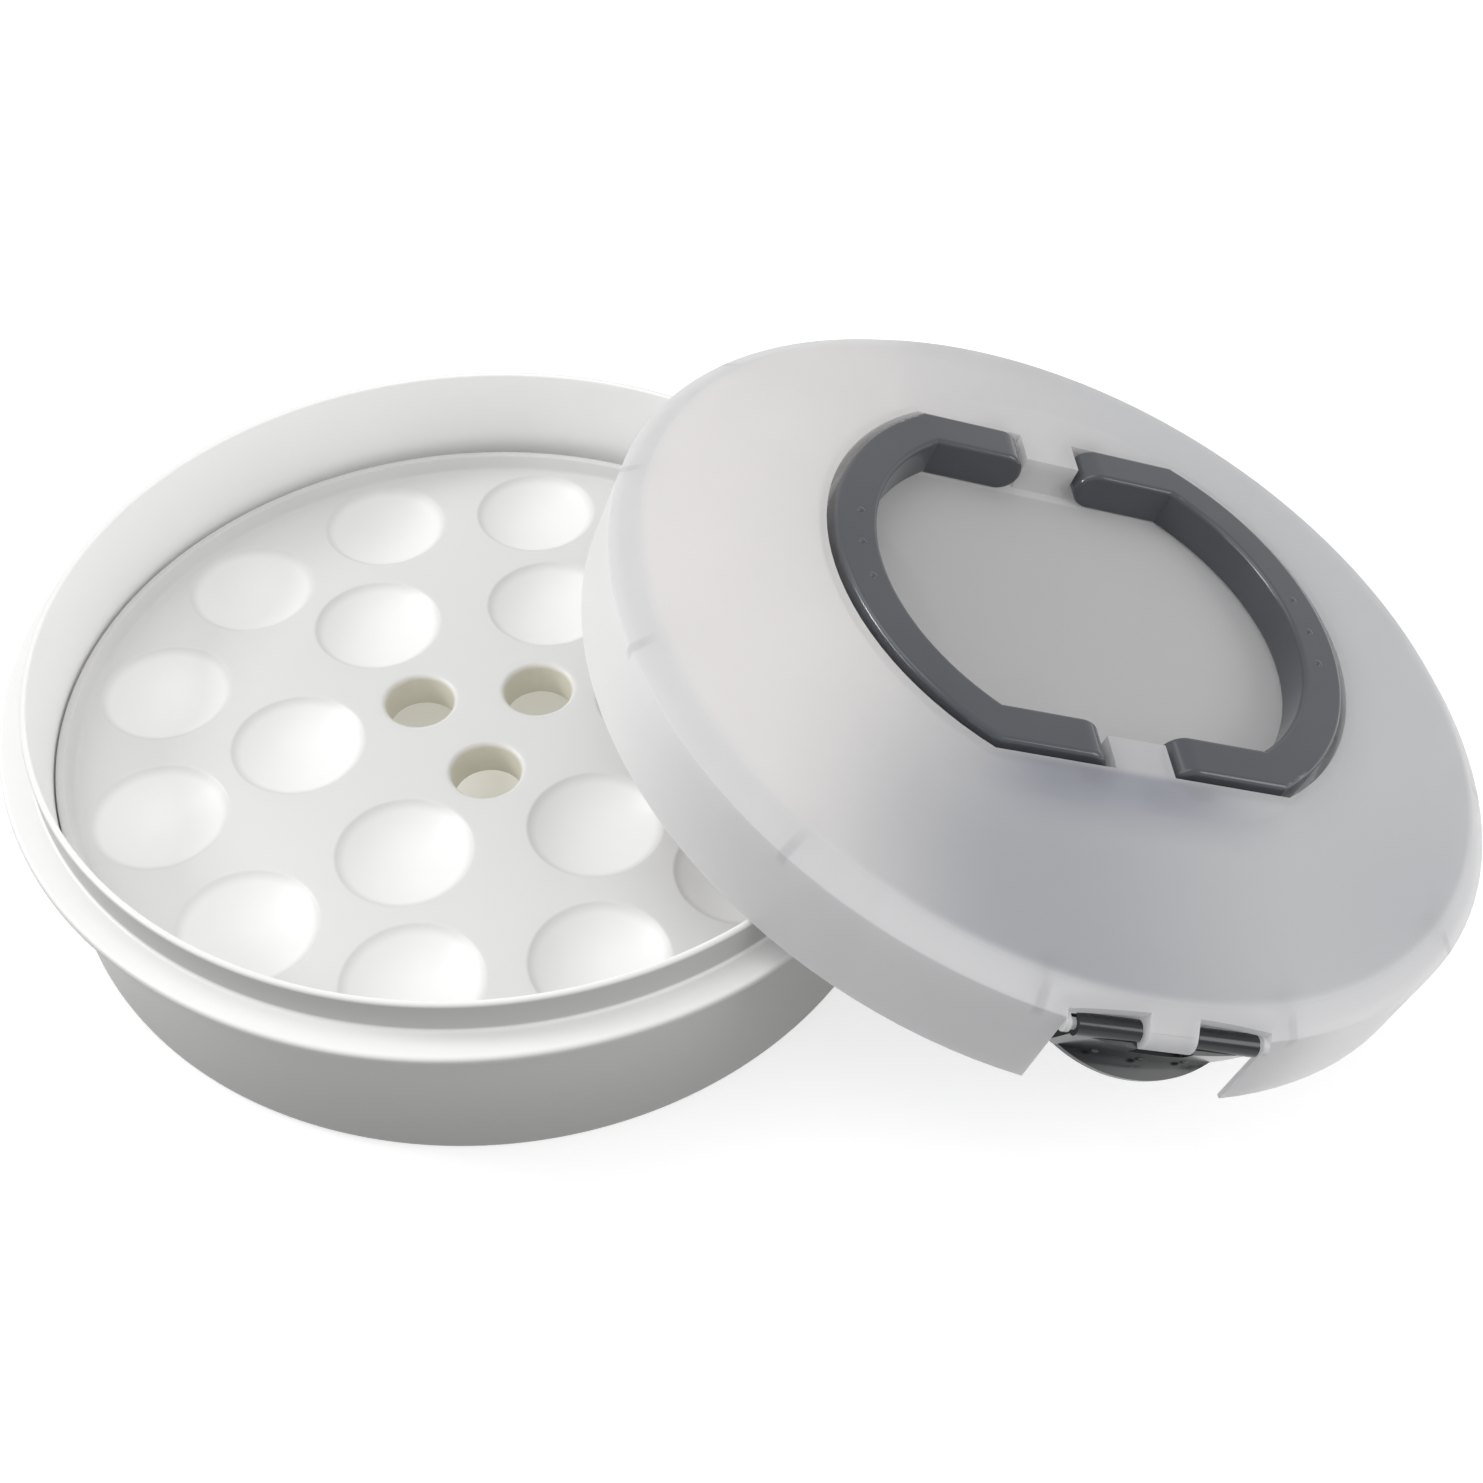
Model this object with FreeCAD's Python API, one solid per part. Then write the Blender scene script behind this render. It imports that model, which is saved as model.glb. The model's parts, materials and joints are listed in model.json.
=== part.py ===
"""Round two-handled food carrier: base, cup tray, and a domed lid leaning on the base.

Millimetres, +Z up, the base's foot on z = 0 with its centre at the origin.  The lid, the
handles and the latches are made in the lid's own frame, rim on z = 0 and handle hinges
along Y, and then laid against the base as one group.
"""
import FreeCAD, Part
import math
import os

V = FreeCAD.Vector

# Base: one wall that steps out to a flange, with the collar that the lid closes over.
LIP_R = 150.2
BASE_H = 80.0
COLLAR_H = 12.6
FLANGE_W = 9.8
FLANGE_R = LIP_R + FLANGE_W
FLANGE_T = 3.6
BODY_R = LIP_R + 1.4
FOOT_R = BODY_R - 1.6
WALL = 2.2
FLOOR_T = 2.6
GROOVE_R = FOOT_R - 11.0
GROOVE_W = 6.0
GROOVE_D = 1.0
RIB_T = 2.4
RIB_REACH = 10.0
RIB_COUNT = 12

# Tray: a thin plate with a raised rim, rings of cups and three finger holes.
TRAY_Z = 41.0
TRAY_T = 2.0
TRAY_GAP = 3.8
TRAY_R = LIP_R - WALL - TRAY_GAP
TRAY_RIM_H = 5.5
TRAY_RIM_W = 3.3
TRAY_SHIFT = (-2.4, -1.6)
CUP_R = 23.0
CUP_DEPTH = 8.0
CUP_EDGE = 7.7
CUP_WEB = 12.0
MOUTH_R = 2.0
RING_STEP = 49.7
RING_TURN = 26.2
RING_TWIST = -12.5
HOLE_R = 12.0
HOLE_OUT = 24.3
HOLE_COUNT = 3
HOLE_TURN = 40.9
HOLE_WEB = 2.8
TUBE_DEPTH = 14.0
TUBE_WALL = 1.6

# Lid, in its own frame: the skirt goes round the flange, the gussets stand on the lip.
LID_WALL = 1.8
LID_CLEAR = 0.5
RIM_R = FLANGE_R + LID_CLEAR + LID_WALL
RIM_EDGE = 0.5
LEDGE_R = RIM_R - 0.7
LEDGE_Z = 31.0
CREASE_R = LEDGE_R - 8.2
CREASE_Z = LEDGE_Z + 6.3
DOME_R = CREASE_R - 28.7
DOME_Z = CREASE_Z + 10.1
CROWN_R = DOME_R - 26.7
CROWN_Z = DOME_Z + 6.4
DOME_ROUND = 200.0
GUSSET_T = 1.6
GUSSET_Z = 27.3
GUSSET_COUNT = 12
FAR = 2 * RIM_R
HIGH = 2 * CROWN_Z

# Sunken seat in the lid's crown, and the handle: half a ring with two straight arms.
SEAT_DEPTH = 13.6
SEAT_Z = CROWN_Z - SEAT_DEPTH
SEAT_R = CROWN_R - 3.0
SEAT_GAP = 2.5
ARM_GAP = 2.0
GRIP_R = SEAT_R - SEAT_GAP
GRIP_W = 14.6
GRIP_IN = GRIP_R - GRIP_W
ARM_Y = GRIP_R - 14.5
ARM_W = 15.5
ARM_IN = ARM_Y - ARM_W
SEAT_Y = ARM_Y + ARM_GAP
HANDLE_H = 15.5
HANDLE_GAP = 0.3
HANDLE_EDGE = 1.8
HANDLE_WALL = 2.4
PIVOT_X = 19.0
PIN_R = 2.5
PIN_REACH = 5.5
LUG_X = PIVOT_X - HANDLE_H / 2 - 1.0
LUG_Y = ARM_IN + 4.0
BUMP_SIZE = 2.0
BUMP_SINK = 1.4
GRIP_BUMP_R = GRIP_R - 8.5
GRIP_BUMP_STEP = 10.7

# Latch: a curved plate on an axle in the lid's skirt notch, its hook under the flange.
NOTCH_X = 33.4
POCKET_Y = LIP_R + 3.4
BARREL_R = 3.5
BARREL_GAP = 0.4
AXLE_Y = POCKET_Y + BARREL_R + BARREL_GAP
AXLE_Z = LEDGE_Z - 3.4
AXLE_R = 1.8
NOTCH_Y = AXLE_Y - 1.5
EAR_R = AXLE_R + 0.9
TAB_X = 8.0
TAB_R = BARREL_R + 1.5
TAB_GAP = 1.2
LATCH_X = NOTCH_X - 3.8
LATCH_IN = FLANGE_R + 0.4
LATCH_T = 2.4
LATCH_CORNER = 6.0
LATCH_HANG = 25.0
HOOK_T = 2.2
HOOK_GAP = 0.3
HOOK_IN = FLANGE_R - 2.0
HOOK_X = 17.0
PULL_OUT = 6.0
PULL_R = 45.0
LATCH_LOW = GUSSET_Z - COLLAR_H - FLANGE_T - HOOK_GAP - HOOK_T
LATCH_BUMP_Z = LATCH_LOW + 4.8
LATCH_BUMP_STEP = 5.3

FIT = 0.05

# Where the lid leans: its centre's distance from the base's axis, the direction it lies
# in, the spin about its own axis, and the hair's breadth left at each resting point.
LID_AWAY = LIP_R + 39.4
LID_TURN = 3.33
LID_SPIN = 3.2
REST_GAP = 0.1


def corner(before, at, after, radius):
    """The two tangent points of a rounded corner and the middle of its arc."""
    u = (before - at).normalize()
    w = (after - at).normalize()
    half = u.getAngle(w) / 2
    reach = radius / math.tan(half)
    centre = at + (u + w).normalize() * (radius / math.sin(half))
    middle = centre + (at - centre).normalize() * radius
    return at + u * reach, middle, at + w * reach


def face(corners, place):
    """Closed outline of (a, b) or (a, b, radius) corners, put in space by place(a, b)."""
    points = [place(c[0], c[1]) for c in corners]
    radii = [c[2] if len(c) > 2 else 0 for c in corners]
    edges = []
    last = None
    for i in range(len(points) + 1):
        k = i % len(points)
        if radii[k]:
            start, middle, end = corner(points[k - 1], points[k], points[(k + 1) % len(points)], radii[k])
        else:
            start = middle = end = points[k]
        if last is not None and (start - last).Length > 1e-6:
            edges.append(Part.makeLine(last, start))
        if radii[k] and i < len(points):
            edges.append(Part.Arc(start, middle, end).toShape())
        last = end
    return Part.Face(Part.Wire(edges))


def turned(corners):
    """Solid of revolution about Z from corners given as (radius, height, rounding)."""
    return face(corners, lambda r, z: V(r, 0, z)).revolve(V(0, 0, 0), V(0, 0, 1), 360)


def block(x0, x1, y0, y1, z0, z1):
    return Part.makeBox(x1 - x0, y1 - y0, z1 - z0, V(x0, y0, z0))


def drum(radius, z0, z1):
    return Part.makeCylinder(radius, z1 - z0, V(0, 0, z0))


def rod_y(radius, x, z, y0, y1):
    return Part.makeCylinder(radius, y1 - y0, V(x, y0, z), V(0, 1, 0))


def rod_x(radius, y, z, x0, x1):
    return Part.makeCylinder(radius, x1 - x0, V(x0, y, z), V(1, 0, 0))


def fused(shapes):
    return shapes[0].multiFuse(shapes[1:]).removeSplitter()


def turn(shape, degrees):
    copy = shape.copy()
    copy.rotate(V(0, 0, 0), V(0, 0, 1), degrees)
    return copy


def around(shape, count, start):
    return [turn(shape, start + 360 * k / count) for k in range(count)]


def ring_spots(radius, count, start):
    turns = [math.radians(start + 360 * k / count) for k in range(count)]
    return [(radius * math.cos(t), radius * math.sin(t)) for t in turns]


def cup_spots():
    """Centres of the cups, ring after ring from the rim in, as many as find room."""
    spots = []
    radius = TRAY_R - CUP_EDGE - CUP_R
    start = RING_TURN
    while radius - CUP_R > HOLE_OUT + HOLE_R + TUBE_WALL + HOLE_WEB:
        spots += ring_spots(radius, int(2 * math.pi * radius / (2 * CUP_R + CUP_WEB)), start)
        radius -= RING_STEP
        start += RING_TWIST
    return spots


def make_base():
    flange_z = BASE_H - COLLAR_H
    inner_r = LIP_R - WALL
    shell = turned([
        (0, 0), (GROOVE_R - GROOVE_W, 0, 0.4), (GROOVE_R - GROOVE_W + 1, GROOVE_D, 0.4),
        (GROOVE_R - 1, GROOVE_D, 0.4), (GROOVE_R, 0, 0.4), (FOOT_R, 0, 4.0),
        (BODY_R, flange_z - FLANGE_T, 1.2), (FLANGE_R, flange_z - FLANGE_T, 1.2),
        (FLANGE_R, flange_z, 1.6), (LIP_R + 0.2, flange_z, 0.8), (LIP_R, BASE_H, WALL / 2 - 0.05),
        (inner_r, BASE_H, WALL / 2 - 0.05), (inner_r - 1.0, FLOOR_T, 5.0), (0, FLOOR_T),
    ])
    rib = block(inner_r - RIB_REACH, inner_r + 0.6, -RIB_T / 2, RIB_T / 2, FLOOR_T - 0.5, TRAY_Z - TRAY_T)
    return fused([shell] + around(rib, RIB_COUNT, RING_TURN + 180 / RIB_COUNT))


def bowl(radius_more, top):
    """Ball whose cap is a cup: radius_more thickens it, top is the plane that opens it."""
    ball_r = (CUP_R ** 2 + CUP_DEPTH ** 2) / (2 * CUP_DEPTH)
    ball = Part.makeSphere(ball_r + radius_more, V(0, 0, TRAY_Z - CUP_DEPTH + ball_r))
    return ball.common(drum(2 * CUP_R, TRAY_Z - 2 * CUP_DEPTH, top))


def make_tray():
    under = TRAY_Z - TRAY_T
    top = TRAY_Z + TRAY_RIM_H
    plate = turned([
        (0, under), (TRAY_R - 4.6, under), (TRAY_R - 2.6, top - 1.8), (TRAY_R - 1.6, top - 1.8),
        (TRAY_R - 1.6, under), (TRAY_R, under), (TRAY_R, top, 1.4), (TRAY_R - TRAY_RIM_W, top, 0.9),
        (TRAY_R - TRAY_RIM_W - 2.2, TRAY_Z, 2.0), (0, TRAY_Z),
    ])
    cups = cup_spots()
    holes = ring_spots(HOLE_OUT, HOLE_COUNT, HOLE_TURN)
    tube = drum(HOLE_R + TUBE_WALL, TRAY_Z - TUBE_DEPTH, TRAY_Z)
    add = [bowl(TRAY_T, under + 0.5).translated(V(x, y, 0)) for x, y in cups]
    add += [tube.translated(V(x, y, 0)) for x, y in holes]
    cut = [bowl(0, TRAY_Z + 1).translated(V(x, y, 0)) for x, y in cups]
    cut += [drum(HOLE_R, 0, TRAY_Z + 1).translated(V(x, y, 0)) for x, y in holes]
    tray = plate.multiFuse(add).cut(Part.makeCompound(cut)).removeSplitter()
    mouths = [e for e in tray.Edges if abs(e.BoundBox.ZMin - TRAY_Z) < 1e-4 and e.BoundBox.ZLength < 1e-4
              and e.BoundBox.XLength < 3 * CUP_R]
    tray = tray.makeFillet(MOUTH_R, mouths)
    tray.translate(V(TRAY_SHIFT[0], TRAY_SHIFT[1], 0))
    return tray


def seat_prism(more, z0):
    """The handles' seat as a prism, its outline grown by more, from z0 upward."""
    disc = drum(SEAT_R + more, z0, HIGH)
    prism = disc.common(block(-FAR, FAR, -SEAT_Y - more, SEAT_Y + more, z0, HIGH))
    lug_x = LUG_X - more
    lug = block(-lug_x, lug_x, LUG_Y + more, FAR, 0, HIGH)
    return prism.cut(Part.makeCompound([lug, turn(lug, 180)]))


def lid_outer():
    return turned([
        (0, 0), (RIM_R - RIM_EDGE, 0), (RIM_R, RIM_EDGE), (LEDGE_R, LEDGE_Z, 0.8), (CREASE_R, CREASE_Z, 1.5),
        (DOME_R, DOME_Z, DOME_ROUND), (CROWN_R, CROWN_Z, 5.0), (0, CROWN_Z),
    ])


def lid_inner():
    t = LID_WALL
    return turned([
        (0, -1), (RIM_R - t + 0.1, -1), (LEDGE_R - t, LEDGE_Z - 1.0, 0.5), (CREASE_R - 0.8, CREASE_Z - t),
        (DOME_R - 0.5, DOME_Z - t - 0.1, DOME_ROUND), (CROWN_R - 0.4, CROWN_Z - t, 3.0), (0, CROWN_Z - t),
    ])


def ear(x0, x1):
    """Side upright of the latch hinge between x0 and x1, round about the axle."""
    return rod_x(EAR_R, -AXLE_Y, AXLE_Z, x0, x1).fuse(
        block(x0, x1, -AXLE_Y, -POCKET_Y + 0.5, AXLE_Z - EAR_R, AXLE_Z + EAR_R))


def tab(outer):
    """Middle upright: the ledge carried on down and rounded about the axle."""
    slope = block(-TAB_X, TAB_X, -AXLE_Y - 0.6 * TAB_R, -POCKET_Y + 0.5, AXLE_Z, HIGH).common(outer)
    return rod_x(TAB_R, -AXLE_Y, AXLE_Z, -TAB_X, TAB_X).fuse(slope)


def latch_notch():
    return block(-NOTCH_X, NOTCH_X, -FAR, -NOTCH_Y, -1, HIGH)


def latch_hinge(outer):
    """Back wall of the pocket, two ears, the middle tab and the axle through them."""
    wall = block(-NOTCH_X - 1.5, NOTCH_X + 1.5, -POCKET_Y, -POCKET_Y + LID_WALL, GUSSET_Z, HIGH).common(outer)
    return fused([
        wall, ear(-NOTCH_X, -NOTCH_X + LID_WALL), tab(outer), ear(NOTCH_X - LID_WALL, NOTCH_X),
        rod_x(AXLE_R, -AXLE_Y, AXLE_Z, -NOTCH_X, NOTCH_X),
    ])


def make_lid():
    outer = lid_outer()
    shell = outer.cut(seat_prism(0, SEAT_Z)).cut(lid_inner().cut(seat_prism(LID_WALL, SEAT_Z - LID_WALL)))
    gusset = block(LIP_R - 3, RIM_R, -GUSSET_T / 2, GUSSET_T / 2, GUSSET_Z, CREASE_Z).common(outer)
    boss = rod_y(PIN_R + 2.7, PIVOT_X, SEAT_Z + HANDLE_GAP + HANDLE_H / 2, SEAT_Y + 0.5, SEAT_Y + PIN_REACH + 0.5)
    bore = rod_y(PIN_R + FIT, PIVOT_X, SEAT_Z + HANDLE_GAP + HANDLE_H / 2, SEAT_Y - 1, SEAT_Y + PIN_REACH - 1.4)
    mirrored = [0, 180]
    bosses = [b for a in mirrored for b in (turn(boss, a), turn(boss.mirror(V(0, 0, 0), V(1, 0, 0)), a))]
    bores = [b for a in mirrored for b in (turn(bore, a), turn(bore.mirror(V(0, 0, 0), V(1, 0, 0)), a))]
    shell = shell.multiFuse(around(gusset, GUSSET_COUNT, 15) + [b.common(outer) for b in bosses])
    shell = shell.cut(Part.makeCompound([turn(latch_notch(), a) for a in mirrored] + bores))
    return shell.multiFuse([turn(latch_hinge(outer), a) for a in mirrored]).removeSplitter()


def c_prism(out_r, in_r, arm_out, arm_in, x_end, z0, z1):
    """Half ring with straight arms, on the -X side, ending at x_end."""
    outer = drum(out_r, z0, z1).common(block(-FAR, x_end, -arm_out, arm_out, z0, z1))
    inner = drum(in_r, z0 - 1, z1 + 1).common(block(-FAR, x_end + 1, -arm_in, arm_in, z0 - 1, z1 + 1))
    return outer.cut(inner)


def make_handle():
    """Left handle, folded down in its seat; the right one is this one turned half round."""
    low = SEAT_Z + HANDLE_GAP
    top = low + HANDLE_H
    axis_z = low + HANDLE_H / 2
    bow = c_prism(GRIP_R, GRIP_IN, ARM_Y, ARM_IN, -PIVOT_X, low, top)
    rims = [e for e in bow.Edges if e.BoundBox.ZLength < 1e-4 and e.BoundBox.XMin < -PIVOT_X - 1]
    bow = bow.makeFillet(HANDLE_EDGE, rims)
    pieces = [bow]
    for y in (-ARM_Y, ARM_IN):
        knuckle = rod_y(HANDLE_H / 2, -PIVOT_X, axis_z, y, y + ARM_Y - ARM_IN)
        pieces.append(knuckle.makeFillet(HANDLE_EDGE, [e for e in knuckle.Edges if e.BoundBox.YLength < 1e-4]))
    for y in (-ARM_Y - PIN_REACH, ARM_Y - 1):
        pieces.append(rod_y(PIN_R, -PIVOT_X, axis_z, y, y + PIN_REACH + 1))
    for k in (-1, 0, 1):
        a = math.radians(180 + k * GRIP_BUMP_STEP)
        spot = V(GRIP_BUMP_R * math.cos(a), GRIP_BUMP_R * math.sin(a), top - BUMP_SINK)
        pieces.append(Part.makeSphere(BUMP_SIZE, spot))
    w = HANDLE_WALL
    hollow = c_prism(GRIP_R - w, GRIP_IN + w, ARM_Y - w, ARM_IN + w, -PIVOT_X - HANDLE_H / 2, low - 1, top - w)
    return fused(pieces).cut(hollow)


def make_latch():
    """Front latch, hanging: plate, two split barrels on the axle, hook and finger pull."""
    gap_x = TAB_X + TAB_GAP
    gap_z = AXLE_Z - TAB_R - 0.8
    sheet = drum(LATCH_IN + LATCH_T, LATCH_LOW, AXLE_Z).cut(drum(LATCH_IN, 0, HIGH))
    front = face([
        (-LATCH_X, LATCH_LOW, LATCH_CORNER), (LATCH_X, LATCH_LOW, LATCH_CORNER), (LATCH_X, AXLE_Z),
        (gap_x, AXLE_Z), (gap_x, gap_z, 1.0), (-gap_x, gap_z, 1.0), (-gap_x, AXLE_Z), (-LATCH_X, AXLE_Z),
    ], lambda x, z: V(x, -FAR, z)).extrude(V(0, FAR, 0))
    hook = drum(LATCH_IN + 1, LATCH_LOW, LATCH_LOW + HOOK_T).cut(drum(HOOK_IN, 0, HIGH))
    hook = hook.common(block(-HOOK_X, HOOK_X, -FAR, 0, 0, HIGH))
    pull = drum(PULL_R, LATCH_LOW, LATCH_LOW + HOOK_T)
    pull.translate(V(0, PULL_R - LATCH_IN - LATCH_T - PULL_OUT, 0))
    pull = pull.cut(drum(LATCH_IN + 0.5, 0, HIGH))
    barrels = [rod_x(BARREL_R, -AXLE_Y, AXLE_Z, a, a + LATCH_X - gap_x) for a in (-LATCH_X, gap_x)]
    body = fused([sheet.common(front), hook, pull] + barrels)
    mouth = AXLE_R * 0.8
    bore = rod_x(AXLE_R + FIT, -AXLE_Y, AXLE_Z, -LATCH_X - 1, LATCH_X + 1)
    slot = block(-LATCH_X - 1, LATCH_X + 1, -AXLE_Y, -AXLE_Y + 10, AXLE_Z - mouth, AXLE_Z + mouth)
    body = body.cut(bore).cut(slot)
    for k in (-1, 0, 1):
        a = math.radians(270 + LATCH_BUMP_STEP * k)
        r = LATCH_IN + LATCH_T - BUMP_SINK
        body = body.fuse(Part.makeSphere(BUMP_SIZE, V(r * math.cos(a), r * math.sin(a), LATCH_BUMP_Z)))
    body = body.removeSplitter()
    body.rotate(V(0, -AXLE_Y, AXLE_Z), V(1, 0, 0), LATCH_HANG)
    return body


def rim_height(tilt):
    """Height of the rim's centre when its lowest point stands on the table."""
    return (RIM_R - RIM_EDGE) * math.sin(tilt) + REST_GAP


def over_lip(tilt):
    """How far the rim's inner edge passes over the base's lip, where the two circles cross."""
    edge_r = RIM_R - LID_WALL + 0.1
    crest_r = LIP_R - WALL / 2
    k = 1 / math.cos(tilt) ** 2
    x = LID_AWAY / 2
    for _ in range(20):
        x = (k * LID_AWAY ** 2 - edge_r ** 2 + crest_r ** 2 + (k - 1) * x ** 2) / (2 * k * LID_AWAY)
    return rim_height(tilt) + (LID_AWAY - x) * math.tan(tilt) - BASE_H


def lean():
    """Tilt at which the rim stands on the table and lies on the lip, found by halving."""
    low, high = math.radians(5), math.radians(40)
    for _ in range(40):
        middle = (low + high) / 2
        if over_lip(middle) > REST_GAP:
            high = middle
        else:
            low = middle
    return low


def lid_pose():
    """The lid's resting place: rim on the table at +X, leaning on the base's lip."""
    tilt = lean()
    away = math.radians(LID_TURN)
    turned_z = FreeCAD.Rotation(V(0, 0, 1), LID_TURN)
    tilted = FreeCAD.Rotation(V(0, 1, 0), math.degrees(tilt))
    spun = FreeCAD.Rotation(V(0, 0, 1), LID_SPIN)
    place = V(LID_AWAY * math.cos(away), LID_AWAY * math.sin(away), rim_height(tilt))
    return FreeCAD.Placement(place, turned_z.multiply(tilted).multiply(spun))


def make_parts():
    handle = make_handle()
    latch = make_latch()
    on_lid = {
        "lid": make_lid(),
        "handle_left": handle, "handle_right": turn(handle, 180),
        "latch_front": latch, "latch_rear": turn(latch, 180),
    }
    parts = {"base": make_base(), "cup_tray": make_tray()}
    pose = lid_pose().toMatrix()
    for name, shape in on_lid.items():
        parts[name] = shape.transformed(pose)
    return parts


def main():
    os.makedirs("parts", exist_ok=True)
    for name, shape in make_parts().items():
        shape.exportStep("parts/" + name + ".step")


main()
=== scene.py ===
# %% [markdown]
# # A round food carrier, its frosted lid leaning on the base
#
# The CAD model fixes every size and place. This script dresses it: smooth moulded surfaces
# worked out with numpy, plastics that scatter light as the real ones do, and soft light.
# The part's sizes are written in millimetres and turned to Blender's metres where a mesh or
# a node takes them. Lamps, floor and camera are placed in metres.

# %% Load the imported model
import json
import math
import bmesh
import bpy
import numpy as np
from mathutils import Matrix, Vector
from mathutils.geometry import delaunay_2d_cdt


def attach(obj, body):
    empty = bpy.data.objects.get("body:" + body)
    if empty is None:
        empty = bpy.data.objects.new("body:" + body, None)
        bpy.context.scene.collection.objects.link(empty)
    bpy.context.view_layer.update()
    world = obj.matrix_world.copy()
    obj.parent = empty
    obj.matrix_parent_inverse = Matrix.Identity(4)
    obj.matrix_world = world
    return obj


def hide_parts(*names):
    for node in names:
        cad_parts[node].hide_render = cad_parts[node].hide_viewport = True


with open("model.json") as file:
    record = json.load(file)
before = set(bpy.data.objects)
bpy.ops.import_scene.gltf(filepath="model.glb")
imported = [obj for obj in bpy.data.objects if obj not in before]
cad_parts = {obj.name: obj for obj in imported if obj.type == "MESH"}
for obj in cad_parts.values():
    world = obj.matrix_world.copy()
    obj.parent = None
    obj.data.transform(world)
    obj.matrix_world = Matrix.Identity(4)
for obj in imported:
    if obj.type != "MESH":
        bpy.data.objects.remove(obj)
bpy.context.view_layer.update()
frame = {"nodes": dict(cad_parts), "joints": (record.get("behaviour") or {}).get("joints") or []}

# %% [markdown]
# ## The lid's own frame
#
# The lid, its handles and its latches are drawn as if the lid stood level: rim on z = 0, the
# handle hinges along Y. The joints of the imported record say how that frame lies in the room:
# the left handle's hinge runs along its Y, the rear latch's along its X.

# %% Read the lean of the lid from its hinges
SEAT_FLOOR = 40.2
HANDLE_GAP = 0.3
HANDLE_H = 15.5
HINGE_X = 19.0
hinges = {joint["name"]: joint for joint in frame["joints"]}
lid_y = np.array(hinges["handle_left_fold"]["axis"])
lid_x = np.array(hinges["latch_rear_swing"]["axis"])
lid_turn = np.column_stack([lid_x, lid_y, np.cross(lid_x, lid_y)])
hinge_point = np.array([-HINGE_X, 0, SEAT_FLOOR + HANDLE_GAP + HANDLE_H / 2])
lid_centre = 1000 * np.array(hinges["handle_left_fold"]["pos_m"]) - lid_turn @ hinge_point
print("lid centre, mm:", lid_centre.round(2))

# %% [markdown]
# ## Surfaces from arrays
#
# Every moulded part here is a profile carried along a path. One helper rounds the corners of
# a profile, one numbers the quads of a grid of points. Quads in long rows shade more evenly
# than the triangles of a CAD export, which is why base and tray are worked out again.

# %% Helpers for profiles and grids
def rounded(corners, steps=6):
    """Outline with rounded corners: each (a, b, radius) becomes an arc tangent to both sides."""
    points = np.array([c[:2] for c in corners], float)
    pieces = []
    for i, corner in enumerate(corners):
        radius = corner[2] if len(corner) > 2 else 0
        if not radius:
            pieces.append(points[i : i + 1])
            continue
        back = points[i - 1] - points[i]
        ahead = points[(i + 1) % len(points)] - points[i]
        back, ahead = back / np.linalg.norm(back), ahead / np.linalg.norm(ahead)
        half = math.acos(np.clip(back @ ahead, -1, 1)) / 2
        middle = (back + ahead) / np.linalg.norm(back + ahead)
        centre = points[i] + middle * radius / math.sin(half)
        reach = math.pi / 2 - half
        side = back - middle * (back @ middle)
        side = side / np.linalg.norm(side)
        turn = np.linspace(reach, -reach, steps)[:, None]
        pieces.append(centre - radius * np.cos(turn) * middle + radius * np.sin(turn) * side)
    return np.vstack(pieces)


def grid_faces(rows, columns):
    """Quads of a grid whose point (i, j) has number i * columns + j, each row closed to a ring."""
    i = np.arange(rows - 1)[:, None]
    j = np.arange(columns)[None, :]
    down, right = i + 1, (j + 1) % columns
    corners = [i * columns + j, i * columns + right, down * columns + right, down * columns + j]
    return np.stack([np.broadcast_to(c, (i.size, j.size)) for c in corners], -1).reshape(-1, 4)


def turned(outline, spot=(0, 0), columns=288):
    """Profile swept round a spot: x = r cos t, y = r sin t, z kept; a radius of 0 closes to a pole."""
    turn = np.linspace(0, 2 * math.pi, columns, endpoint=False)[None, :]
    radius, height = outline[:, :1], np.repeat(outline[:, 1:], columns, 1)
    grid = np.stack([spot[0] + radius * np.cos(turn), spot[1] + radius * np.sin(turn), height], -1)
    first, last = int(outline[0, 0] == 0), len(outline) - int(outline[-1, 0] == 0)
    ring = grid[first:last].reshape(-1, 3)
    faces = [grid_faces(last - first, columns)]
    j = np.arange(columns)
    poles = []
    for row, start in ((0, 0), (len(outline) - 1, (last - first - 1) * columns)):
        if outline[row, 0] == 0:
            tip = np.full(columns, len(ring) + len(poles))
            faces.append(np.stack([tip, start + j, start + (j + 1) % columns], -1))
            poles.append([spot[0], spot[1], outline[row, 1]])
    return np.vstack([ring, poles]) if poles else ring, faces


# %% One mesh from patches
WELD = 1e-6


def gathered(patches):
    """Patches of (points, face arrays) put one after another, their face numbers moved on."""
    starts = np.cumsum([0] + [len(points) for points, _ in patches[:-1]])
    faces = [block + start for (_, blocks), start in zip(patches, starts) for block in blocks]
    return np.vstack([points for points, _ in patches]), faces


def piece(name, patches, body, material, node=None):
    """One welded mesh from millimetre patches, its faces turned outward, riding on a CAD body."""
    points, faces = gathered(patches)
    mesh = bpy.data.meshes.new(name)
    mesh.from_pydata((points / 1000).tolist(), [], [face for block in faces for face in block.tolist()])
    work = bmesh.new()
    work.from_mesh(mesh)
    bmesh.ops.remove_doubles(work, verts=work.verts, dist=WELD)
    bmesh.ops.recalc_face_normals(work, faces=work.faces)
    open_edges = sum(edge.is_boundary for edge in work.edges)
    work.to_mesh(mesh)
    work.free()
    mesh.shade_smooth()
    mesh.materials.append(material)
    made = bpy.data.objects.new(name, mesh)
    bpy.context.scene.collection.objects.link(made)
    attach(made, body)
    if node:
        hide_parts(node)
    print(name, "faces", len(mesh.polygons), "open edges", open_edges)
    return made


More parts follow.
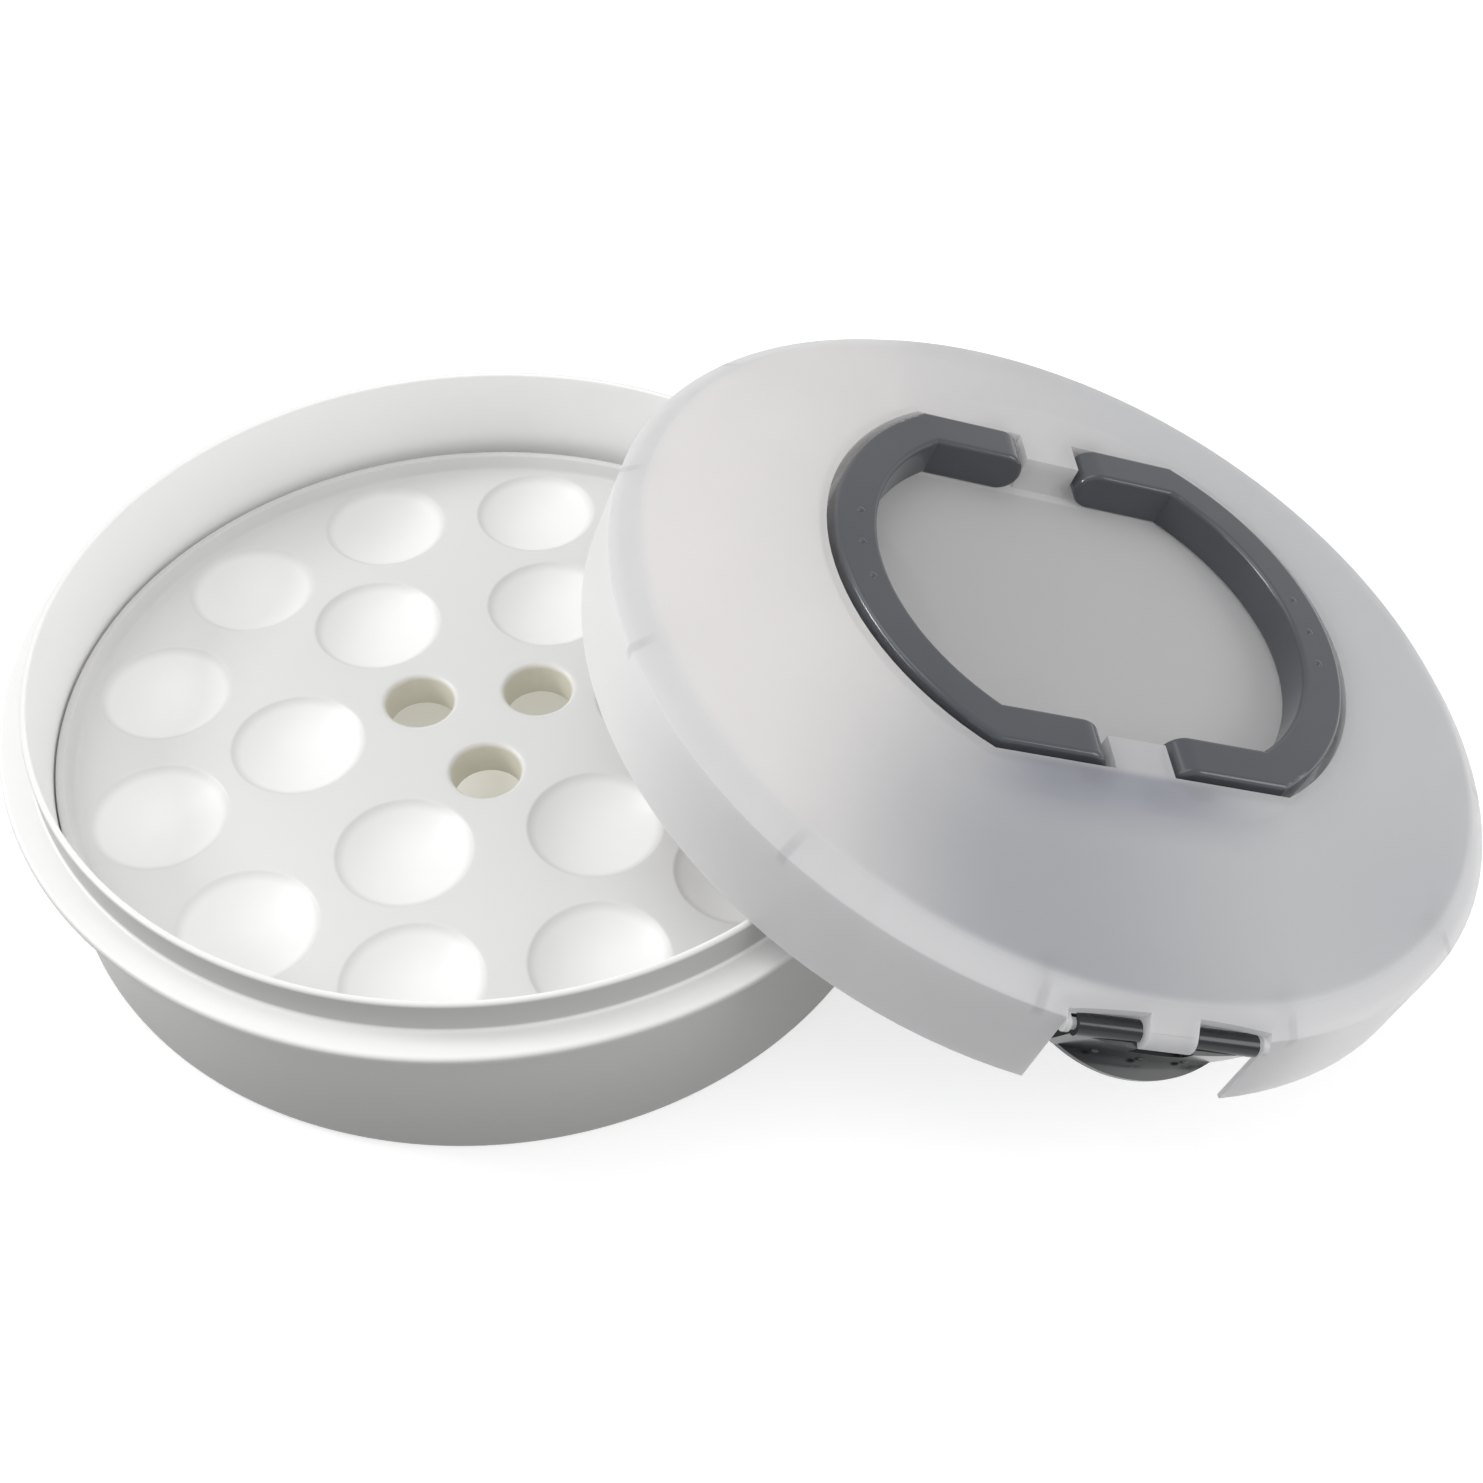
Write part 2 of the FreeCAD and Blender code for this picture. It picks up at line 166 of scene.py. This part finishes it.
# %% [markdown]
# ## Plastics
#
# All parts are injection moulded polypropylene. One recipe makes them: a colour that drifts
# a little over the piece, as pigment does, and a fine grain from the mould, which a Bump node
# draws. The real grain is finer than a pixel of the render, so it is drawn 0.6 to 0.8 mm
# wide, the least that still softens the gloss. Colours are sRGB hex, turned to linear once.

# %% Colour and node helpers
SMOOTH = {"interpolation_type": "SMOOTHSTEP"}
PRODUCT = {"operation": "MULTIPLY"}
COLOURS = {"data_type": "RGBA"}


def colour(hex_value):
    """Linear RGBA from an sRGB hex string, by the standard's piecewise curve."""
    srgb = [int(hex_value[i : i + 2], 16) / 255 for i in (0, 2, 4)]
    return [c / 12.92 if c <= 0.04045 else ((c + 0.055) / 1.055) ** 2.4 for c in srgb] + [1]


def add(tree, kind, settings=None, **inputs):
    """One node: settings are its properties, inputs are values or sockets to link from."""
    node = tree.nodes.new(kind)
    for key, value in (settings or {}).items():
        setattr(node, key, value)
    for key, value in inputs.items():
        socket = node.inputs[int(key[1:])] if key[1:].isdigit() else node.inputs[key.replace("_", " ")]
        if isinstance(value, bpy.types.NodeSocket):
            tree.links.new(value, socket)
        else:
            socket.default_value = value
    return node


# %% The plastic
BUMP_STRENGTH = 0.35
ROUGHNESS_DRIFT = 0.05


def plastic(name, low, high, roughness, grain, depth, cloud, tint=None, through=0.0, clear=0.0, **shader):
    """Moulded plastic: colour drifts between two hex values, fine grain bumps the surface.

    grain and cloud are the widths of the mould's grain and of the drift, depth the height of
    the grain, in millimetres. tint(tree, place, tone) may change the colour by place. through
    is the share of light that is scattered on the far side, clear the share that passes straight."""
    made = bpy.data.materials.new(name)
    made.use_nodes = True
    tree = made.node_tree
    tree.nodes.clear()
    place = add(tree, "ShaderNodeTexCoord").outputs["Object"]
    drift = add(tree, "ShaderNodeTexNoise", Vector=place, Scale=1000 / cloud, Detail=2.0).outputs["Fac"]
    tone = add(tree, "ShaderNodeMix", COLOURS, _0=drift, _6=colour(low), _7=colour(high)).outputs[2]
    if tint:
        tone = tint(tree, place, tone)
    fine = add(tree, "ShaderNodeTexNoise", Vector=place, Scale=1000 / grain, Detail=3.0).outputs["Fac"]
    bump = add(tree, "ShaderNodeBump", Height=fine, Strength=BUMP_STRENGTH, Distance=depth / 1000).outputs[0]
    least, most = roughness - ROUGHNESS_DRIFT, roughness + ROUGHNESS_DRIFT
    rough = add(tree, "ShaderNodeMapRange", Value=drift, _3=least, _4=most).outputs[0]
    shader.update(Base_Color=tone, Roughness=rough, Normal=bump)
    skin = add(tree, "ShaderNodeBsdfPrincipled", **shader).outputs[0]
    if through:
        glow = add(tree, "ShaderNodeBsdfTranslucent", Color=tone, Normal=bump).outputs[0]
        skin = add(tree, "ShaderNodeMixShader", _0=through, _1=skin, _2=glow).outputs[0]
    if clear:
        gap = add(tree, "ShaderNodeBsdfTransparent").outputs[0]
        skin = add(tree, "ShaderNodeMixShader", _0=clear, _1=skin, _2=gap).outputs[0]
    out = add(tree, "ShaderNodeOutputMaterial")
    tree.links.new(skin, out.inputs["Surface"])
    return made


# %% [markdown]
# ## Colour by place
#
# White plastic never looks one white: a cup's far side lights its near side, a thin wall lets some light go,
# and an overhang stays dim. A few soft zones of colour paint that light and shade in, so the lamps can stay
# plain. Each zone is a product of smooth steps along the piece's own lengths.

# %% Zones
def from_axis(tree, place):
    """X, Y and Z of a place as sockets, and its distance from the Z axis."""
    x, y, z = add(tree, "ShaderNodeSeparateXYZ", Vector=place).outputs
    flat = add(tree, "ShaderNodeVectorMath", PRODUCT, _0=place, _1=(1, 1, 0)).outputs[0]
    radius = add(tree, "ShaderNodeVectorMath", {"operation": "LENGTH"}, _0=flat).outputs["Value"]
    return x, y, z, radius


def painted(tree, under, over, *limits, top=1.0):
    """The colour under with another over it in one zone; both are hex strings or sockets.

    Each limit (value, start, end) in millimetres is a smooth step from 0 at start to 1 at end,
    or from a fourth number to 1. The upper colour's share is the product of them all and top."""
    share = top
    for value, start, end, *low in limits:
        step = add(tree, "ShaderNodeMapRange", SMOOTH, Value=value, _1=start / 1000, _2=end / 1000)
        step.inputs["To Min"].default_value = low[0] if low else 0.0
        share = add(tree, "ShaderNodeMath", PRODUCT, _0=share, _1=step.outputs[0]).outputs[0]
    under, over = (colour(tone) if isinstance(tone, str) else tone for tone in (under, over))
    return add(tree, "ShaderNodeMix", COLOURS, _0=share, _6=under, _7=over).outputs[2]


# %% [markdown]
# ## Base
#
# A tub turned as one profile about its axis: flat underside with its ring groove, body wall,
# the flange that the lid closes on, and the collar above it. Twelve ribs inside carry the tray.
# The plastic is a satin white. Its colour carries painted light and shade: brighter inside, where white
# faces white, and on the flange top; darker on the body below the flange, most at the foot, and on the
# collar.

# %% Base sizes
LIP_R = 150.2
BASE_H = 80.0
WALL = 2.2
FLOOR_T = 2.6
FLANGE_R = 160.0
FLANGE_TOP = 67.4
FLANGE_LOW = FLANGE_TOP - 3.6
BODY_R = LIP_R + 1.4
FOOT_R = LIP_R - 0.2
INNER_FOOT_R = 147.0
GROOVE_OUT = 139.0
GROOVE_IN = 133.0
GROOVE_D = 1.0


# %% Base finish
def base_painted_light_and_shade(tree, place, tone):
    """From the foot up: painted shade on the body, darkest at the foot; painted light on the flange top;
    painted shade on the collar; the plain tone on the lip; and over them all painted light on the inside of
    the wall.
    """
    _, _, z, radius = from_axis(tree, place)
    # Painted shade on the body, darker towards the foot.
    body = painted(tree, "B2B2AF", "CCCCCA", (z, 0, 60))
    # Painted light on the flange top.
    flange = painted(tree, body, "EEEEED", (z, FLANGE_TOP - 2.2, FLANGE_TOP - 0.4))
    # Painted shade on the collar.
    collar = painted(tree, flange, "BABAB8", (z, FLANGE_TOP + 0.5, FLANGE_TOP + 2.1))
    lip = painted(tree, collar, tone, (z, BASE_H - 1.5, BASE_H - 0.3))
    # Painted light on the inside of the wall and the floor within it.
    return painted(tree, lip, "FAFAF9", (radius, LIP_R - 0.8, LIP_R - 2.0))


white_moulded = plastic(
    "white moulded polypropylene", "E0E0DE", "E6E6E5", 0.38, grain=0.714, depth=0.04, cloud=111,
    tint=base_painted_light_and_shade,
)

# %% Base tub
base_outline = rounded([
    (0, 0), (GROOVE_IN, 0, 0.4), (GROOVE_IN + GROOVE_D, GROOVE_D, 0.4),
    (GROOVE_OUT - GROOVE_D, GROOVE_D, 0.4), (GROOVE_OUT, 0, 0.4),
    (FOOT_R, 0, 4.0), (BODY_R, FLANGE_LOW, 1.2), (FLANGE_R, FLANGE_LOW, 1.2),
    (FLANGE_R, FLANGE_TOP, 1.6), (LIP_R + 0.2, FLANGE_TOP, 0.8), (LIP_R, BASE_H, 1.05),
    (LIP_R - WALL, BASE_H, 1.05), (INNER_FOOT_R, FLOOR_T, 5.0), (0, FLOOR_T),
])
piece("base_tub", [turned(base_outline)], "carrier", white_moulded, "base")

# %% Ribs under the tray
RIBS = 12
RIB_TURN = 41.2
RIB_IN, RIB_OUT = 138.0, 148.4
RIB_LOW, RIB_TOP = 2.1, 39.0


def rib(degrees):
    """Upright web: its side outline, drawn smaller on the two outer slices for a soft edge."""
    side = rounded([(RIB_IN, RIB_LOW), (RIB_IN, RIB_TOP, 1.2), (RIB_OUT, RIB_TOP), (RIB_OUT, RIB_LOW)])
    slices = np.array([[-1.2, 0.5], [-0.95, 0.12], [-0.7, 0], [0.7, 0], [0.95, 0.12], [1.2, 0.5]])
    middle = np.array([RIB_OUT, RIB_LOW])
    shrink = 1 - slices[:, 1:, None] / np.array([RIB_OUT - RIB_IN, RIB_TOP - RIB_LOW])
    flat = middle + (side - middle) * shrink
    across = np.repeat(slices[:, :1], len(side), 1)
    c, s = math.cos(math.radians(degrees)), math.sin(math.radians(degrees))
    grid = np.stack([flat[..., 0] * c - across * s, flat[..., 0] * s + across * c, flat[..., 1]], -1)
    rows, columns = grid.shape[:2]
    caps = np.array([range(columns), range((rows - 1) * columns, rows * columns)])
    return grid.reshape(-1, 3), [grid_faces(rows, columns), caps]


piece("base_ribs", [rib(RIB_TURN + 360 * k / RIBS) for k in range(RIBS)], "carrier", white_moulded)

# %% [markdown]
# ## Cup tray
#
# A thin plate with a raised rim, two rings of shallow cups and three finger holes on tubes.
# Every cup is part of a ball, its mouth rounded by a small circle that touches both the flat
# plate and the ball. The flats between the round patches are filled by a Delaunay net, and
# the shared circles are welded, so the plate stays perfectly even while the mouths are fine.

# %% Tray sizes
TRAY_TOP, TRAY_UNDER = 41.0, 39.0
TRAY_EDGE, TRAY_EDGE_WALL = 144.2, 1.6
TRAY_RIM_TOP, TRAY_RIM_UNDER = 46.5, 44.7
FLAT_TOP_R, FLAT_UNDER_R = 137.3, 138.0
TRAY_SHIFT = np.array([-2.4, -1.6, 0])
CUP_R, CUP_DEPTH, CUP_MOUTH = 23.0, 8.0, 2.0
BALL_R = (CUP_R**2 + CUP_DEPTH**2) / (2 * CUP_DEPTH)
BALL_Z = TRAY_TOP - CUP_DEPTH + BALL_R
HOLE_R, HOLE_RING = 12.0, 24.3
TUBE_END, TUBE_WALL = 27.0, 1.6
HOLE_TOP_R, HOLE_UNDER_R = 15.0, 15.5
CUP_COLUMNS, HOLE_COLUMNS, RIM_COLUMNS = 84, 60, 288


def ring_spots(radius, count, start):
    """Centres evenly round a circle, the first at start degrees."""
    turn = np.radians(start + 360 * np.arange(count) / count)
    return np.stack([radius * np.cos(turn), radius * np.sin(turn)], -1)


cups = np.vstack([ring_spots(113.5, 12, 26.2), ring_spots(63.8, 6, 13.7)])
holes = ring_spots(HOLE_RING, 3, 40.9)


# %% Tray finish
def tray_tint(tree, place, tone):
    """The cups catch light from their own far side and look a little brighter than the plate,
    the walls of the finger holes a little warmer."""
    _, _, z, radius = from_axis(tree, place)
    cup = painted(tree, tone, "ECECEB", (z, TRAY_TOP + 0.1, TRAY_TOP - 2.5))
    hole_reach = HOLE_RING + HOLE_R
    near_holes = (radius, hole_reach + 4.7, hole_reach + 1.7)
    return painted(tree, cup, "E2DFD2", near_holes, (z, TRAY_TOP + 0.1, TRAY_TOP - 1.5))


white_tray = plastic(
    "white tray polypropylene", "D5D5D4", "DBDBDA", 0.42, grain=0.714, depth=0.04, cloud=111, tint=tray_tint
)


# %% Tray patches
def dish(ball, plate, mouth_r):
    """From the flat, over the mouth's circle and down the ball: that circle's centre lies
    mouth_r below the plate and ball + mouth_r from the ball's centre."""
    low = BALL_Z - plate + mouth_r
    out = math.sqrt((ball + mouth_r) ** 2 - low**2)
    lean = math.atan2(out, low)
    over = np.linspace(0, lean, 8)
    down = np.linspace(lean, 0, 15)[1:]
    mouth = np.stack([out - mouth_r * np.sin(over), plate - mouth_r + mouth_r * np.cos(over)], -1)
    bowl = np.stack([ball * np.sin(down), BALL_Z - ball * np.cos(down)], -1)
    return np.vstack([mouth, bowl])


def flat(height, edge, circles):
    """Plate at one height between its edge circle and the circles of (centres, radius, columns)."""
    rings = [(np.zeros((1, 2)), edge, RIM_COLUMNS)] + circles
    points, loops = [], []
    for centres, radius, columns in rings:
        for centre in centres:
            start = sum(len(p) for p in points)
            points.append(centre + ring_spots(radius, columns, 0))
            j = np.arange(columns)
            loops.append(np.stack([start + j, start + (j + 1) % columns], -1))
    corners = [Vector(p) for p in np.vstack(points).tolist()]
    net = delaunay_2d_cdt(corners, np.vstack(loops).tolist(), [], 0, 1e-7)
    found, faces = np.array([v[:] for v in net[0]]), np.array([list(f) for f in net[2]])
    middle = found[faces].mean(1)
    keep = np.ones(len(faces), bool)
    for centres, radius, columns in circles:
        inside = radius * math.cos(math.pi / columns)
        keep &= (np.linalg.norm(middle[:, None] - centres[None], axis=2) > inside).all(1)
    return np.column_stack([found, np.full(len(found), height)]), [faces[keep]]


# %% Tray plate
cup_top = dish(BALL_R, TRAY_TOP, CUP_MOUTH)
cup_under = dish(BALL_R + TRAY_TOP - TRAY_UNDER, TRAY_UNDER, 1.5)
hole_outline = rounded([
    (HOLE_TOP_R, TRAY_TOP), (HOLE_R, TRAY_TOP, 2.0), (HOLE_R, TUBE_END, 0.7),
    (HOLE_R + TUBE_WALL, TUBE_END, 0.7), (HOLE_R + TUBE_WALL, TRAY_UNDER, 1.0), (HOLE_UNDER_R, TRAY_UNDER),
])
rim_in = TRAY_EDGE - TRAY_EDGE_WALL
edge_outline = rounded([
    (FLAT_TOP_R, TRAY_TOP), (138.7, TRAY_TOP, 2.0), (140.9, TRAY_RIM_TOP, 0.9),
    (TRAY_EDGE, TRAY_RIM_TOP, 1.4), (TRAY_EDGE, TRAY_UNDER, 0.4),
    (rim_in, TRAY_UNDER, 0.4), (rim_in, TRAY_RIM_UNDER, 0.3),
    (141.6, TRAY_RIM_UNDER, 0.3), (139.6, TRAY_UNDER, 0.5), (FLAT_UNDER_R, TRAY_UNDER),
])
tray = [turned(edge_outline, columns=RIM_COLUMNS)]
tray += [turned(side, spot, CUP_COLUMNS) for spot in cups for side in (cup_top, cup_under)]
tray += [turned(hole_outline, spot, HOLE_COLUMNS) for spot in holes]
for height, edge, cup_r, hole_r in (
    (TRAY_TOP, FLAT_TOP_R, cup_top[0, 0], HOLE_TOP_R),
    (TRAY_UNDER, FLAT_UNDER_R, cup_under[0, 0], HOLE_UNDER_R),
):
    tray.append(flat(height, edge, [(cups, cup_r, CUP_COLUMNS), (holes, hole_r, HOLE_COLUMNS)]))
tray = [(points + TRAY_SHIFT, faces) for points, faces in tray]
piece("tray_plate", tray, "carrier", white_tray, "cup_tray")

# %% [markdown]
# ## Lid, handles and latches
#
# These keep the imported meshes, whose curves are fine enough as they are. The lid is the same
# polypropylene without pigment and with a matt, eroded mould texture, so it passes light but
# blurs what lies behind it: half of its light is scattered through, a seventh goes straight.
# Handles and latches are pigmented dark and come from a polished mould. A thin coat gives the
# bright lines along their rounded edges, while the plastic below it stays satin.

# %% Lid finish
GUSSETS = 12
TICK_R = 156.0


def lid_colour_and_painted_light(tree, place, tone):
    """The lid's colour by place, in the lid's own frame. Painted shade makes it cooler and darker towards
    its low side, dim at its front and darker under the handles' front arms; the floor of their seat is grey;
    painted light makes ledge and skirt whiter, with painted shade on the front of the skirt. The gussets
    inside show as faint ticks: with t the angle about the axis, the sine of half their number times t, less
    a quarter turn, is zero at each of them, and off is that sine as a distance at TICK_R."""
    back = lid_turn.T
    local = add(
        tree, "ShaderNodeMapping", {"vector_type": "POINT"}, Vector=place,
        Location=(-back @ lid_centre / 1000).tolist(), Rotation=Matrix(back.tolist()).to_euler(),
    ).outputs[0]
    x, y, z, radius = from_axis(tree, local)
    side = add(tree, "ShaderNodeMath", {"operation": "ABSOLUTE"}, _0=y).outputs[0]
    # Painted shade: cooler and darker towards the low side, then dim at the front.
    tone = painted(tree, tone, "D6D7D9", (x, -150, 120))
    tone = painted(tree, tone, "C0C1C5", (y, -35, -115), (x, 60, -40, 0.3), (x, -125, -50))
    # Painted shade under the handles' front arms.
    shade_under_arms = (y, -20, -60), (side, 79, 83), (side, 108, 88), (x, -62, -30), (x, 50, 0)
    tone = painted(tree, tone, "A9ABB6", *shade_under_arms, top=0.8)
    tone = painted(tree, tone, "CBCBCC", (radius, 94.5, 92.5), (side, 63.5, 61.5), (z, 41.0, 40.4))
    # Painted light: ledge and skirt whiter, the skirt with painted shade at its front.
    tone = painted(tree, tone, "E9E9EA", (radius, 150.5, 154.5))
    wall = painted(tree, "FFFFFF", "EAEAEB", (y, -35, -115), (x, 70, 30))
    tone = painted(tree, tone, wall, (z, 31.4, 30.4))
    angle = add(tree, "ShaderNodeMath", {"operation": "ARCTAN2"}, _0=y, _1=x).outputs[0]
    spoke = add(tree, "ShaderNodeMath", PRODUCT, _0=angle, _1=GUSSETS / 2).outputs[0]
    spoke = add(tree, "ShaderNodeMath", {"operation": "SUBTRACT"}, _0=spoke, _1=math.pi / 2).outputs[0]
    swing = add(tree, "ShaderNodeMath", {"operation": "SINE"}, _0=spoke).outputs[0]
    swing = add(tree, "ShaderNodeMath", {"operation": "ABSOLUTE"}, _0=swing).outputs[0]
    off = add(tree, "ShaderNodeMath", PRODUCT, _0=swing, _1=TICK_R / 1000 / (GUSSETS / 2)).outputs[0]
    return painted(tree, tone, "B9B9BC", (off, 2.34, 0.78), (radius, 153.5, 159), (z, 26, 30), top=0.3)


frosted = plastic(
    "frosted clear polypropylene", "EDEBEA", "F3F1F0", 0.45, grain=0.833, depth=0.05, cloud=143,
    tint=lid_colour_and_painted_light, through=0.5, clear=0.14,
)

# %% Handle and latch finishes
pewter = plastic(
    "pewter pigmented plastic", "414449", "4C4F54", 0.34, grain=0.588, depth=0.05, cloud=33.3,
    Specular_IOR_Level=0.15, Coat_Weight=0.7, Coat_Roughness=0.12,
)
graphite = plastic(
    "graphite pigmented plastic", "191C1F", "212427", 0.32, grain=0.588, depth=0.05, cloud=33.3,
    Specular_IOR_Level=0.15, Coat_Weight=0.6, Coat_Roughness=0.12,
)
for node, finish in (("lid", frosted), ("latch_front", graphite), ("latch_rear", graphite),
                     ("handle_left", pewter), ("handle_right", pewter)):
    frame["nodes"][node].data.materials.clear()
    frame["nodes"][node].data.materials.append(finish)

# %% [markdown]
# ## Floor, light and camera
#
# The floor is white to the eye and keeps the object's shadow, but is mid grey to the light
# that bounces on, so that undersides stay as dim as in the photograph.

# %% Floor
FLOOR_REACH = 6.0


def stage_material():
    """Pale to camera, glossy and transmission rays, mid grey to the light that bounces on."""
    made = bpy.data.materials.new("stage")
    made.use_nodes = True
    tree = made.node_tree
    tree.nodes.clear()
    path = add(tree, "ShaderNodeLightPath").outputs
    larger = {"operation": "MAXIMUM"}
    seen = add(tree, "ShaderNodeMath", larger, _0=path["Is Camera Ray"], _1=path["Is Glossy Ray"])
    seen = add(tree, "ShaderNodeMath", larger, _0=seen.outputs[0], _1=path["Is Transmission Ray"])
    dim = add(tree, "ShaderNodeBsdfDiffuse", Color=colour("6A6A6A"))
    pale = add(tree, "ShaderNodeBsdfDiffuse", Color=colour("BCBCBC"))
    glow = add(tree, "ShaderNodeEmission", Color=(1, 1, 1, 1), Strength=0.67)
    shown = add(tree, "ShaderNodeAddShader", _0=pale.outputs[0], _1=glow.outputs[0])
    pick = add(tree, "ShaderNodeMixShader", _0=seen.outputs[0], _1=dim.outputs[0], _2=shown.outputs[0])
    out = add(tree, "ShaderNodeOutputMaterial")
    tree.links.new(pick.outputs[0], out.inputs["Surface"])
    return made


floor_mesh = bpy.data.meshes.new("floor")
floor_corners = [(x * FLOOR_REACH, y * FLOOR_REACH, 0) for x, y in ((-1, -1), (1, -1), (1, 1), (-1, 1))]
floor_mesh.from_pydata(floor_corners, [], [(0, 1, 2, 3)])
floor_mesh.materials.append(stage_material())
floor = bpy.data.objects.new("floor", floor_mesh)
bpy.context.scene.collection.objects.link(floor)

# %% [markdown]
# An even grey world does most of the lighting, as in a white studio. A large box above, one
# on the left and one on the right shape the forms. The long strip on the left is there for
# the thin bright lines along the rounded edges only: matt surfaces don't see it. A dim lamp
# under the tray stands for the light that seeps through the base and shows in the holes.

# %% Light
def studio_world(fill_strength):
    """White to the camera, an even fill of the given strength to all other rays."""
    world = bpy.data.worlds.new("studio")
    world.use_nodes = True
    tree = world.node_tree
    tree.nodes.clear()
    seen = add(tree, "ShaderNodeLightPath").outputs["Is Camera Ray"]
    fill = add(tree, "ShaderNodeBackground", Color=(1, 1, 1, 1), Strength=fill_strength)
    white = add(tree, "ShaderNodeBackground", Color=(1, 1, 1, 1), Strength=1.0)
    pick = add(tree, "ShaderNodeMixShader", _0=seen, _1=fill.outputs[0], _2=white.outputs[0])
    out = add(tree, "ShaderNodeOutputWorld")
    tree.links.new(pick.outputs[0], out.inputs["Surface"])
    return world


def soft_box(name, place, aim, size, power, tone=(1, 1, 1), height=None):
    """Area lamp at place, facing aim, size wide and height high (square if none); all in metres."""
    lamp = bpy.data.lights.new(name, "AREA")
    lamp.shape = "RECTANGLE"
    lamp.size, lamp.size_y = size, height or size
    lamp.energy = power
    lamp.color = tone
    made = bpy.data.objects.new(name, lamp)
    made.location = place
    made.rotation_euler = (Vector(aim) - Vector(place)).to_track_quat("-Z", "Y").to_euler()
    bpy.context.scene.collection.objects.link(made)
    return made


bpy.context.scene.world = studio_world(0.7)
soft_box("top box", (-0.45, 0.3, 1.7), (0.05, 0, 0), 1.4, 9)
soft_box("left box", (-1.3, 0.1, 1.0), (0.05, 0, 0.05), 0.4, 7)
edge_strip = soft_box("edge strip", (-1.3, -0.1, 0.95), (0.15, 0, 0.08), 1.2, 11, height=0.14)
edge_strip.visible_diffuse = False
soft_box("right box", (1.4, -0.5, 0.7), (0.15, 0, 0.05), 0.7, 6)
soft_box("glow through the tray", (0, 0, 0.0262), (0, 0, 0), 0.2, 0.036, (1, 0.98, 0.86))

# %% Camera
def camera_at(eye, elevation, roll, lens):
    """Camera at eye in metres, looking along +Y and down by elevation, turned by roll."""
    data = bpy.data.cameras.new("camera")
    data.sensor_width = 36
    data.lens = lens
    made = bpy.data.objects.new("camera", data)
    dip, tip = math.radians(elevation), math.radians(roll)
    right = np.array([1.0, 0, 0])
    ahead = np.array([0, math.cos(dip), -math.sin(dip)])
    down = np.cross(ahead, right)
    side = math.cos(tip) * right - math.sin(tip) * down
    fall = math.sin(tip) * right + math.cos(tip) * down
    turn = Matrix(np.column_stack([side, -fall, -ahead]).tolist()).to_4x4()
    made.matrix_world = Matrix.Translation(eye) @ turn
    bpy.context.scene.collection.objects.link(made)
    bpy.context.scene.camera = made
    return made


camera_at((0.0898, -0.4446, 0.5146), 47.31, 2.16, 44.5)
bpy.context.scene.view_settings.view_transform = "Standard"
